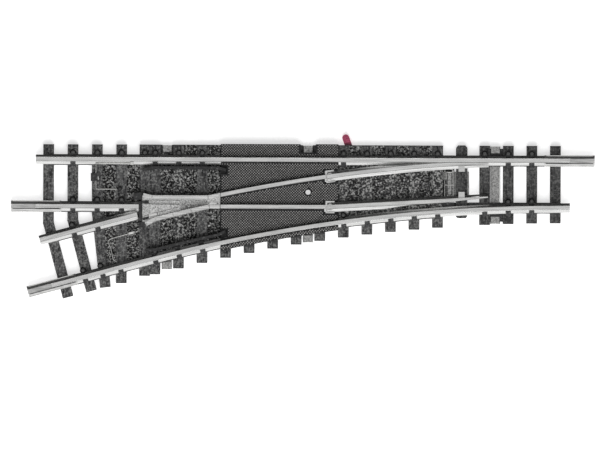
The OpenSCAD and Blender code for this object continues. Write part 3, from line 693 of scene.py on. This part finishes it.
def sleeper_tops():
    planks, speckled = Builder(), Builder()
    far_end = SLEEPER_HALF + SLEEPER_GROW
    for n in RUNNING:
        x = sleeper_x(n)
        low = arc_y(x, CURVE_R - SLEEPER_HALF)
        zone = (low + 2.0, 6.1) if n < 10 else None
        top = arc_y(x, PANEL_R) if PANEL_X0 < x < PANEL_X1 else far_end
        seed = 1.0 + n * 2.3
        if n in SPECKLED_SLEEPERS:
            inner_low = arc_y(x, INNER_R)
            plank(planks, (x, 0), 0, low - SLEEPER_GROW, inner_low, seed, zone)
            plank(speckled, (x, 0), 0, inner_low, RAIL_Y, seed, zone)
            plank(planks, (x, 0), 0, RAIL_Y, top, seed, zone)
        else:
            plank(planks, (x, 0), 0, low - SLEEPER_GROW, top, seed, zone)
    plank(planks, (TWIN_X, 0), 0, TWIN_LOW - SLEEPER_GROW, far_end, 77.0)
    for m, (x, bend_y) in enumerate(zip(FAN_X, FAN_BEND_Y)):
        plank(planks, (x, 0), 0, bend_y - 0.3, far_end, 5.1 + m * 3.7)
        plank(planks, (x, bend_y), FAN_TURN[m], -fan_length(m) - SLEEPER_GROW, 0.3, 8.9 + m * 1.9)
    speckled.build("speckled_sleeper_tops", SPECKLED, "base", "bed_plastic")
    return planks.build("sleeper_tops", GRAIN, "base", "bed_plastic")


def exit_side(x, y):
    return (x - EXIT_X) * math.sin(TURN) - (y - EXIT_Y) * math.cos(TURN)


def fan_length(m):
    return (SLEEPER_HALF - exit_side(FAN_X[m], FAN_BEND_Y[m])) / math.cos(TURN - FAN_TURN[m])


# ---------------------------------------------------------------- chairs
def chair_bolts():
    """The chairs' round bolt heads, on the far side of each rail."""
    bolts = Builder()
    profile = [(0.66, -0.2), (0.66, 0.3), (0.62, 0.42), (0.55, 0.46), (0.5, 0.4), (0.44, 0.42),
               (0.4, 0.58), (0.3, 0.7), (0.16, 0.76), (0.04, 0.77)]
    places = [(sleeper_x(n), RAIL_Y) for n in (1, 2, 3, 5, 6, 7, 8, 9, 15, 16, 17)]
    places += [(TWIN_X, RAIL_Y)] + [(x, RAIL_Y) for x in FAN_X[:3]]
    places += [(x, -RAIL_Y) for x in FAN_X[:3]]
    for n in (1, 2, 9, 17):
        places.append((sleeper_x(n), arc_y(sleeper_x(n), INNER_R)))
    for x, y in places:
        bolts.lathe((x, y + BOLT_OFFSET, SEAT_Z), profile)
    for d, side in ((12.3, -RAIL_Y), (8.7, RAIL_Y), (12.5, RAIL_Y)):
        p = exit_point(d, side - BOLT_OFFSET)
        bolts.lathe((p.x, p.y, SEAT_Z), profile)
    return bolts.build("chair_bolts", BOLT, "base", "bed_plastic", 40)


# ---------------------------------------------------------------- knurled panel
def panel_knurl():
    """Small pyramids in a diamond pattern over the panel's free top."""
    knurl = Builder()
    half = KNURL_PITCH / 2
    strap_low, strap_high = node_box("centre_contact_strap")
    nail = ((strap_low.x + strap_high.x) / 2, NAIL_Y)
    count = int(KNURL_SPAN / half)
    z = PANEL_Z - 0.02
    for i in range(count):
        for j in range(i % 2, count, 2):
            x, y = PANEL_X0 + 0.3 + i * half, KNURL_LOW_Y + j * half
            if on_panel(x, y, nail, strap_high.y):
                verts = [(x - half, y, z), (x, y - half, z), (x + half, y, z), (x, y + half, z)]
                verts += [(x + (a - x) * KNURL_TIP, y + (b - y) * KNURL_TIP, PANEL_Z + KNURL_RISE)
                          for a, b, _ in verts]
                faces = [(3, 2, 1, 0), (4, 5, 6, 7)]
                faces += [(k, (k + 1) % 4, 4 + (k + 1) % 4, 4 + k) for k in range(4)]
                knurl.add(verts, faces)
    return knurl.build("panel_knurl", PANEL, "base", "bed_plastic")


def on_panel(x, y, nail, strap_end_y):
    """Whether a pyramid at x, y stands clear of the panel's edges, rails, nail hole, strap and clips."""
    margin, rail_clear = 0.14, 0.7
    if not (PANEL_X0 + margin < x < PANEL_X1 - margin and y < PANEL_Y1 - margin):
        return False
    radius = math.hypot(x - CURVE_X, y + CURVE_R)
    if radius < PANEL_R + margin:
        return False
    rail_gaps = (y - RAIL_Y, y + RAIL_Y, radius - INNER_R, radius - OUTER_R)
    if min(abs(gap) for gap in rail_gaps) < rail_clear:
        return False
    if math.hypot(x - nail[0], y - nail[1]) < 0.8:
        return False
    if abs(x - nail[0]) < 1.95 and y > strap_end_y - 1.95:
        return False
    if x < PANEL_X0 + 1.5 and (1.7 < y < 4.0 or -11.8 < y < -9.5):
        return False
    for node in ("upper_heel_clip", "lower_heel_clip"):
        low, high = node_box(node)
        if low.x - 0.45 < x and low.y - 0.25 < y < high.y + 0.25:
            return False
    return True


# ---------------------------------------------------------------- frog, wires and small parts
def frog_grain():
    """The granular floor between the wing rails."""
    floor = Builder()
    speckle = np.random.default_rng(3).random((400, 400))
    x0, x1, high = -25.8, -20.2, -3.55
    cols, rows = int((x1 - x0) / 0.09), 30
    points = []
    for i in range(cols + 1):
        x = x0 + (x1 - x0) * i / cols
        low = arc_y(x, CURVE_R + WING_Y) + 0.5
        points.append([(x, low + (high - low) * j / rows, FLANGEWAY_Z + 0.08 + 0.07 * speckle[i, j])
                       for j in range(rows + 1)])
    floor.grid_solid(points, FLANGEWAY_Z - 0.05)
    return floor.build("frog_floor_grain", CAST, "base", "cast_metal")


def along(points, width, height):
    """Pads, end to end along a path of (x, y) points: (centre, size, angle) of each."""
    for a, b in zip(points, points[1:]):
        middle = ((a[0] + b[0]) / 2, (a[1] + b[1]) / 2)
        yield middle, (math.dist(a, b), width, height), math.atan2(b[1] - a[1], b[0] - a[0])


def frog_shade_strips():
    """Thin black strips of painted shade at the foot of the wing rails and of the vee."""
    shade_lines = Builder()
    z = FLANGEWAY_Z + 0.01
    paths = [[(-33.4, -WING_Y - 0.56), (-20.1, -WING_Y - 0.56)], [(-33.6, -4.4), (-26.0, -4.5)],
             [(-32.8, -8.0), (-31.0, -7.05), (-27.3, -6.13), (-23.5, -5.25), (-20.0, -4.42)],
             [(-33.4, -6.93), (-31.2, -6.34), (-28.6, -5.68), (-26.2, -5.06)]]
    for path in paths:
        for middle, size, angle in along(path, 0.1, 0.08):
            shade_lines.block((*middle, z), size, angle, 0.9)
    return shade_lines.build("frog_shade_strips", BLACK, "base", "cast_metal")


def frog_caps():
    """Smooth running tops of the wing rails, wear pads in the flangeways and the insulators' tongues."""
    caps = Builder()
    upper = [(-33.5, 0.38 - WING_Y), (-31.8, -WING_Y), (-19.9, -WING_Y), (-17.6, arc_y(-17.6, OUTER_R))]
    lower = [(-32.9, -8.55)] + [(x, arc_y(x, CURVE_R + WING_Y)) for x in (-31.0, -27.3, -23.5)]
    lower += [(-19.7, -RAIL_Y), (-17.5, -RAIL_Y)]
    for path in (upper, lower):
        for middle, size, angle in along(path, 0.76, 0.05):
            caps.block((*middle, HEAD_Z - 0.03), size, angle, 0.94)
    pad_z = FLANGEWAY_Z + 0.03
    caps.block((-31.6, -6.72, pad_z), (2.1, 0.6, 0.24), math.radians(14), 0.85)
    caps.block((-18.9, -4.25, pad_z), (1.9, 0.36, 0.24), 0, 0.85)
    caps.build("frog_running_tops", RAIL, "base", "cast_metal")
    tongues = Builder()
    tongues.block((-33.1, -3.98, FLANGEWAY_Z), (1.3, 0.55, 0.5), 0, 0.8)
    tongues.block((-33.1, -7.45, FLANGEWAY_Z), (1.3, 0.5, 0.5), math.radians(16), 0.8)
    return tongues.build("insulator_tongues", BLACK, "base", "black_plastic")


def joiner_shade_strips():
    """Black strips of painted shade under each folded lip beside the rail's web, and bright strips of
    painted highlight along the lip's outer edge.
    """
    shade_lines, highlight_lines = Builder(), Builder()
    shade_line_z = SEAT_Z + 0.66
    # Black strips are painted shade under the lips; bright strips are painted highlight on the lip edges.
    lines = ((shade_lines, 0.56, 0.15, shade_line_z), (highlight_lines, 1.1, 0.14, shade_line_z - 0.12))
    for name, angle in (("toe_joiner", 0.0), ("straight_exit_joiner", 0.0), ("diverging_exit_joiner", TURN)):
        if angle:
            a, b = exit_point(14.5, RAIL_Y), exit_point(24.7, RAIL_Y)
        else:
            low, high = node_box(name)
            y = (low.y + high.y) / 2
            a, b = Vector((low.x + 0.2, y)), Vector((high.x - 0.2, y))
        run = (b - a).normalized()
        side = Vector((-run.y, run.x))
        for builder, offset, width, z in lines:
            for shift in (-offset, offset):
                ends = [tuple(a + side * shift), tuple(b + side * shift)]
                for middle, size, turn in along(ends, width, 0.12):
                    builder.block((*middle, z), size, turn, 0.9)
    highlight_lines.build("joiner_highlight_strips", BRIGHT_WIRE, "base", "rail_metal")
    return shade_lines.build("joiner_shade_strips", BLACK, "base", "rail_metal")


def strap_surrounds():
    """Plastic beside and behind the toe strap's two tabs, and a bright strip of painted highlight along the
    strap's fold.
    """
    pads = Builder()
    low, high = node_box("toe_contact_strap")
    x0, x1 = sleeper_x(3) + SLEEPER_W / 2, sleeper_x(2) - SLEEPER_W / 2
    for y0, y1 in ((6.0, high.y - 0.45), (low.y + 0.45, -6.0)):
        pads.block(((x0 + x1) / 2, (y0 + y1) / 2, 0.75), (x1 - x0 + 0.1, y1 - y0, 0.9), 0, 0.97)
    # Painted highlight: a strip of brighter metal along the strap's bend.
    fold = Builder()
    fold.block((high.x - 0.12, 0, 0.61), (0.2, 7.6, 0.1), 0, 0.7)
    fold.build("toe_strap_fold_highlight", BRIGHT_WIRE, "base", "strap_metal")
    return pads.build("strap_surrounds", BLACK, "base", "bed_plastic")


def jumper_wires():
    upper = Builder()
    radius = 0.13
    low, high = node_box("upper_jumper_wire")
    top_z, run_z = high.z - radius, low.z + radius
    x = low.x + radius
    upper.tube([(x + 0.3, 4.12, top_z), (high.x - 0.2, 4.12, top_z)], radius)
    upper.block((high.x - 0.35, 4.12, top_z - 0.12), (0.7, 0.72, 0.3), 0, 0.85)
    run_y = low.y + radius
    path = [(x + 0.6, 4.1, top_z), (x, 4.1, top_z), (x, 3.5, top_z), (x, 3.45, run_z),
            (x, run_y, run_z), (-39.2, run_y, run_z)]
    upper.tube(rounded_path(path, 0.35), radius)
    upper.block((x + 0.35, 1.3, SEAT_Z + 0.02), (0.5, 1.3, 0.42), 0, 0.7)
    obj = upper.build("upper_jumper", BRIGHT_WIRE, "base", "spring_wire", 50)
    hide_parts("upper_jumper_wire")

    lower = Builder()
    z = node_box("lower_jumper_wire")[0].z + radius
    path = [(-34.8, -10.2), (-36.7, -10.7), (-40.5, -11.8), (-41.1, -12.3), (-40.4, -13.8),
            (-39.9, -16.2), (-39.2, -16.6)]
    lower.tube(rounded_path([(a, b, z) for a, b in path], 0.6), radius)
    lower.block((-36.0, -10.52, z - 0.1), (1.7, 0.55, 0.3), math.radians(15), 0.8)
    obj = lower.build("lower_jumper", BRIGHT_WIRE, "base", "spring_wire", 50)
    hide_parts("lower_jumper_wire")

    knob = Builder()
    low, high = node_box("jumper_knob")
    centre = ((low.x + high.x) / 2, (low.y + high.y) / 2, low.z)
    r, h = (high.x - low.x) / 2, high.z - low.z
    profile = [(r, -0.05), (r, h * 0.6), (r * 0.92, h * 0.8), (r * 0.7, h * 0.95), (r * 0.45, h),
               (r * 0.4, h * 0.86), (r * 0.05, h * 0.84)]
    knob.lathe(centre, profile, 28)
    obj = knob.build("jumper_retainer", BLACK, "base", "black_plastic", 40)
    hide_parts("jumper_knob")


def retaining_frame():
    """Bent wire frame over the end of the drive plate, with a cross wire and a hooked end."""
    low, high = node_box("retaining_wire")
    r = 0.15
    x0, x1, y0, y1, z = low.x + r, high.x - r, low.y + r, high.y - r, high.z - r
    wire = Builder()
    foot = low.z + 0.02
    loop = [(x0, y1, foot), (x0, y1, z), (x0, y0, z), (x1, y0, z), (x1, y1, z), (x1, y1, foot)]
    wire.tube(rounded_path(loop, 0.4), r, 12)
    for x in (x0, x1):
        wire.tube(rounded_path([(x, y0, foot), (x, y0 + 0.02, z)], 0.1), r * 0.95, 12)
    wire.tube([(x0, -0.15, z), (x1, -0.15, z)], r * 0.9, 12)
    hook = [(x0, y1, z), (x0 + 0.7, y1 - 0.05, z), (x1 - 0.2, y1 - 0.1, z), (x1 - 0.25, y1 - 0.75, z),
            (x0 + 0.6, y1 - 0.8, z)]
    wire.tube(rounded_path(hook, 0.3), r * 0.9, 12)
    obj = wire.build("retaining_frame", BRIGHT_WIRE, "base", "spring_wire", 50)
    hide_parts("retaining_wire")


def drive_plate_groove_shade():
    """A dark rectangular line of painted shade, standing for the groove pressed into the end of the drive
    plate.
    """
    rim = Builder()
    z = node_box("drive_plate")[1].z - 0.02
    x0, x1, y0, y1 = 30.45, 31.4, -2.2, 2.4
    for x in (x0, x1):
        rim.block((x, (y0 + y1) / 2, z), (0.18, y1 - y0 + 0.18, 0.06))
    for y in (y0, y1):
        rim.block(((x0 + x1) / 2, y, z), (x1 - x0 - 0.16, 0.16, 0.06))
    return rim.build("drive_plate_groove_shade", BLACK, "drive_plate", "strap_metal")


def lever_ribs():
    """Three grip ribs across the lever's end."""
    z = node_box("hand_lever")[1].z - 0.03
    ribs = Builder()
    for d in (2.25, 2.7, 3.15):
        x = LEVER_PIVOT[0] - d * math.sin(LEVER_LEAN)
        y = LEVER_PIVOT[1] + d * math.cos(LEVER_LEAN)
        ribs.block((x, y, z), (1.05, 0.2, 0.13), LEVER_LEAN, 0.7)
    return ribs.build("lever_ribs", LEVER, "hand_lever", "lever_plastic")


def tie_bar_grain():
    """Ribs along the tie bar's top."""
    low, high = node_box("tie_bar")
    ribs = Builder()
    x = (low.x + high.x) / 2
    for k in range(-4, 5):
        for y0, y1 in ((6.3, 7.3), (-2.2, 2.6), (-7.0, -4.6)):
            if abs(k) > 3 and y0 > 6:
                continue
            wobble = 0.02 * math.sin(k * 7.1 + y0)
            ribs.block((x + k * 0.24 + wobble, (y0 + y1) / 2, high.z - 0.02), (0.11, y1 - y0, 0.06))
    return ribs.build("tie_bar_grain", GRAIN, "tie_bar", "bed_plastic")


# ---------------------------------------------------------------- stage, light and camera
def stage():
    mesh = bpy.data.meshes.new("floor")
    reach, z = 1.5, cad_low.z - 0.00002
    corners = [(-reach, -reach, z), (reach, -reach, z), (reach, reach, z), (-reach, reach, z)]
    mesh.from_pydata(corners, [], [(0, 1, 2, 3)])
    floor = bpy.data.objects.new("floor", mesh)
    bpy.context.scene.collection.objects.link(floor)
    s = Shader("floor_paint")
    tone = s.ramp(s.noise(s.coords, 30, 2), [(0.3, 0.93), (0.7, 0.95)])
    s.bsdf.inputs["Specular IOR Level"].default_value = 0.1
    s.bsdf.inputs["Emission Color"].default_value = (1, 1, 1, 1)
    s.bsdf.inputs["Emission Strength"].default_value = 0.6
    rough = s.ramp(s.noise(s.coords, 60, 2), [(0.3, 0.85), (0.7, 0.95)])
    s.finish(tone, rough, s.bump(s.noise(s.coords, 400, 2), 0.02, 0.00005))
    mesh.materials.append(s.mat)


def world_light():
    world = bpy.data.worlds.new("studio")
    bpy.context.scene.world = world
    world.use_nodes = True
    tree = world.node_tree
    background = tree.nodes["Background"]
    coords = tree.nodes.new("ShaderNodeTexCoord")
    toward = tree.nodes.new("ShaderNodeVectorMath")
    toward.operation = "DOT_PRODUCT"
    toward.inputs[1].default_value = (0, -0.5, 0.78)
    tree.links.new(coords.outputs["Generated"], toward.inputs[0])
    ramp = tree.nodes.new("ShaderNodeValToRGB")
    stops = ((0.5, 0.012), (0.74, 0.62), (0.83, 0.72), (0.92, 0.92))
    for place in (0.5, 0.6):
        ramp.color_ramp.elements.new(place)
    for element, (place, level) in zip(ramp.color_ramp.elements, stops):
        element.position = place
        element.color = (level, level, level, 1)
    tree.links.new(toward.outputs["Value"], ramp.inputs[0])
    tree.links.new(ramp.outputs[0], background.inputs[0])
    background.inputs[1].default_value = 1.1


def area(name, place, target, size, watts):
    data = bpy.data.lights.new(name, "AREA")
    data.shape = "DISK"
    data.size = size
    data.energy = watts
    lamp = bpy.data.objects.new(name, data)
    bpy.context.scene.collection.objects.link(lamp)
    lamp.location = place
    lamp.rotation_mode = "QUATERNION"
    lamp.rotation_quaternion = (Vector(place) - Vector(target)).to_track_quat("Z", "Y")
    lamp.visible_glossy = False


def camera():
    width = 126.45 * MM
    elevation = math.radians(88)
    roll = math.radians(0.2)
    target = Vector((-0.57, -8.79, 4.23)) * MM
    back = Vector((0, -math.cos(elevation), math.sin(elevation)))
    data = bpy.data.cameras.new("camera")
    data.type = "ORTHO"
    data.ortho_scale = width
    data.clip_start, data.clip_end = 0.01, 5
    cam = bpy.data.objects.new("camera", data)
    bpy.context.scene.collection.objects.link(cam)
    right = Vector((1, 0, 0))
    up = back.cross(right)
    turned = right * math.cos(roll) + up * math.sin(roll)
    up = back.cross(turned)
    facing = Matrix((turned, up, back)).transposed().to_4x4()
    cam.matrix_world = Matrix.Translation(target + back * 0.6) @ facing
    bpy.context.scene.camera = cam


bpy.context.scene.view_settings.view_transform = "Standard"
dress_cad()
moulded_ballast()
sleeper_tops()
chair_bolts()
panel_knurl()
frog_grain()
frog_shade_strips()
frog_caps()
joiner_shade_strips()
strap_surrounds()
jumper_wires()
retaining_frame()
drive_plate_groove_shade()
lever_ribs()
tie_bar_grain()
stage()
world_light()
area("key", (0.02, -0.3, 0.5), (0, -0.01, 0), 0.4, 1.9)
camera()
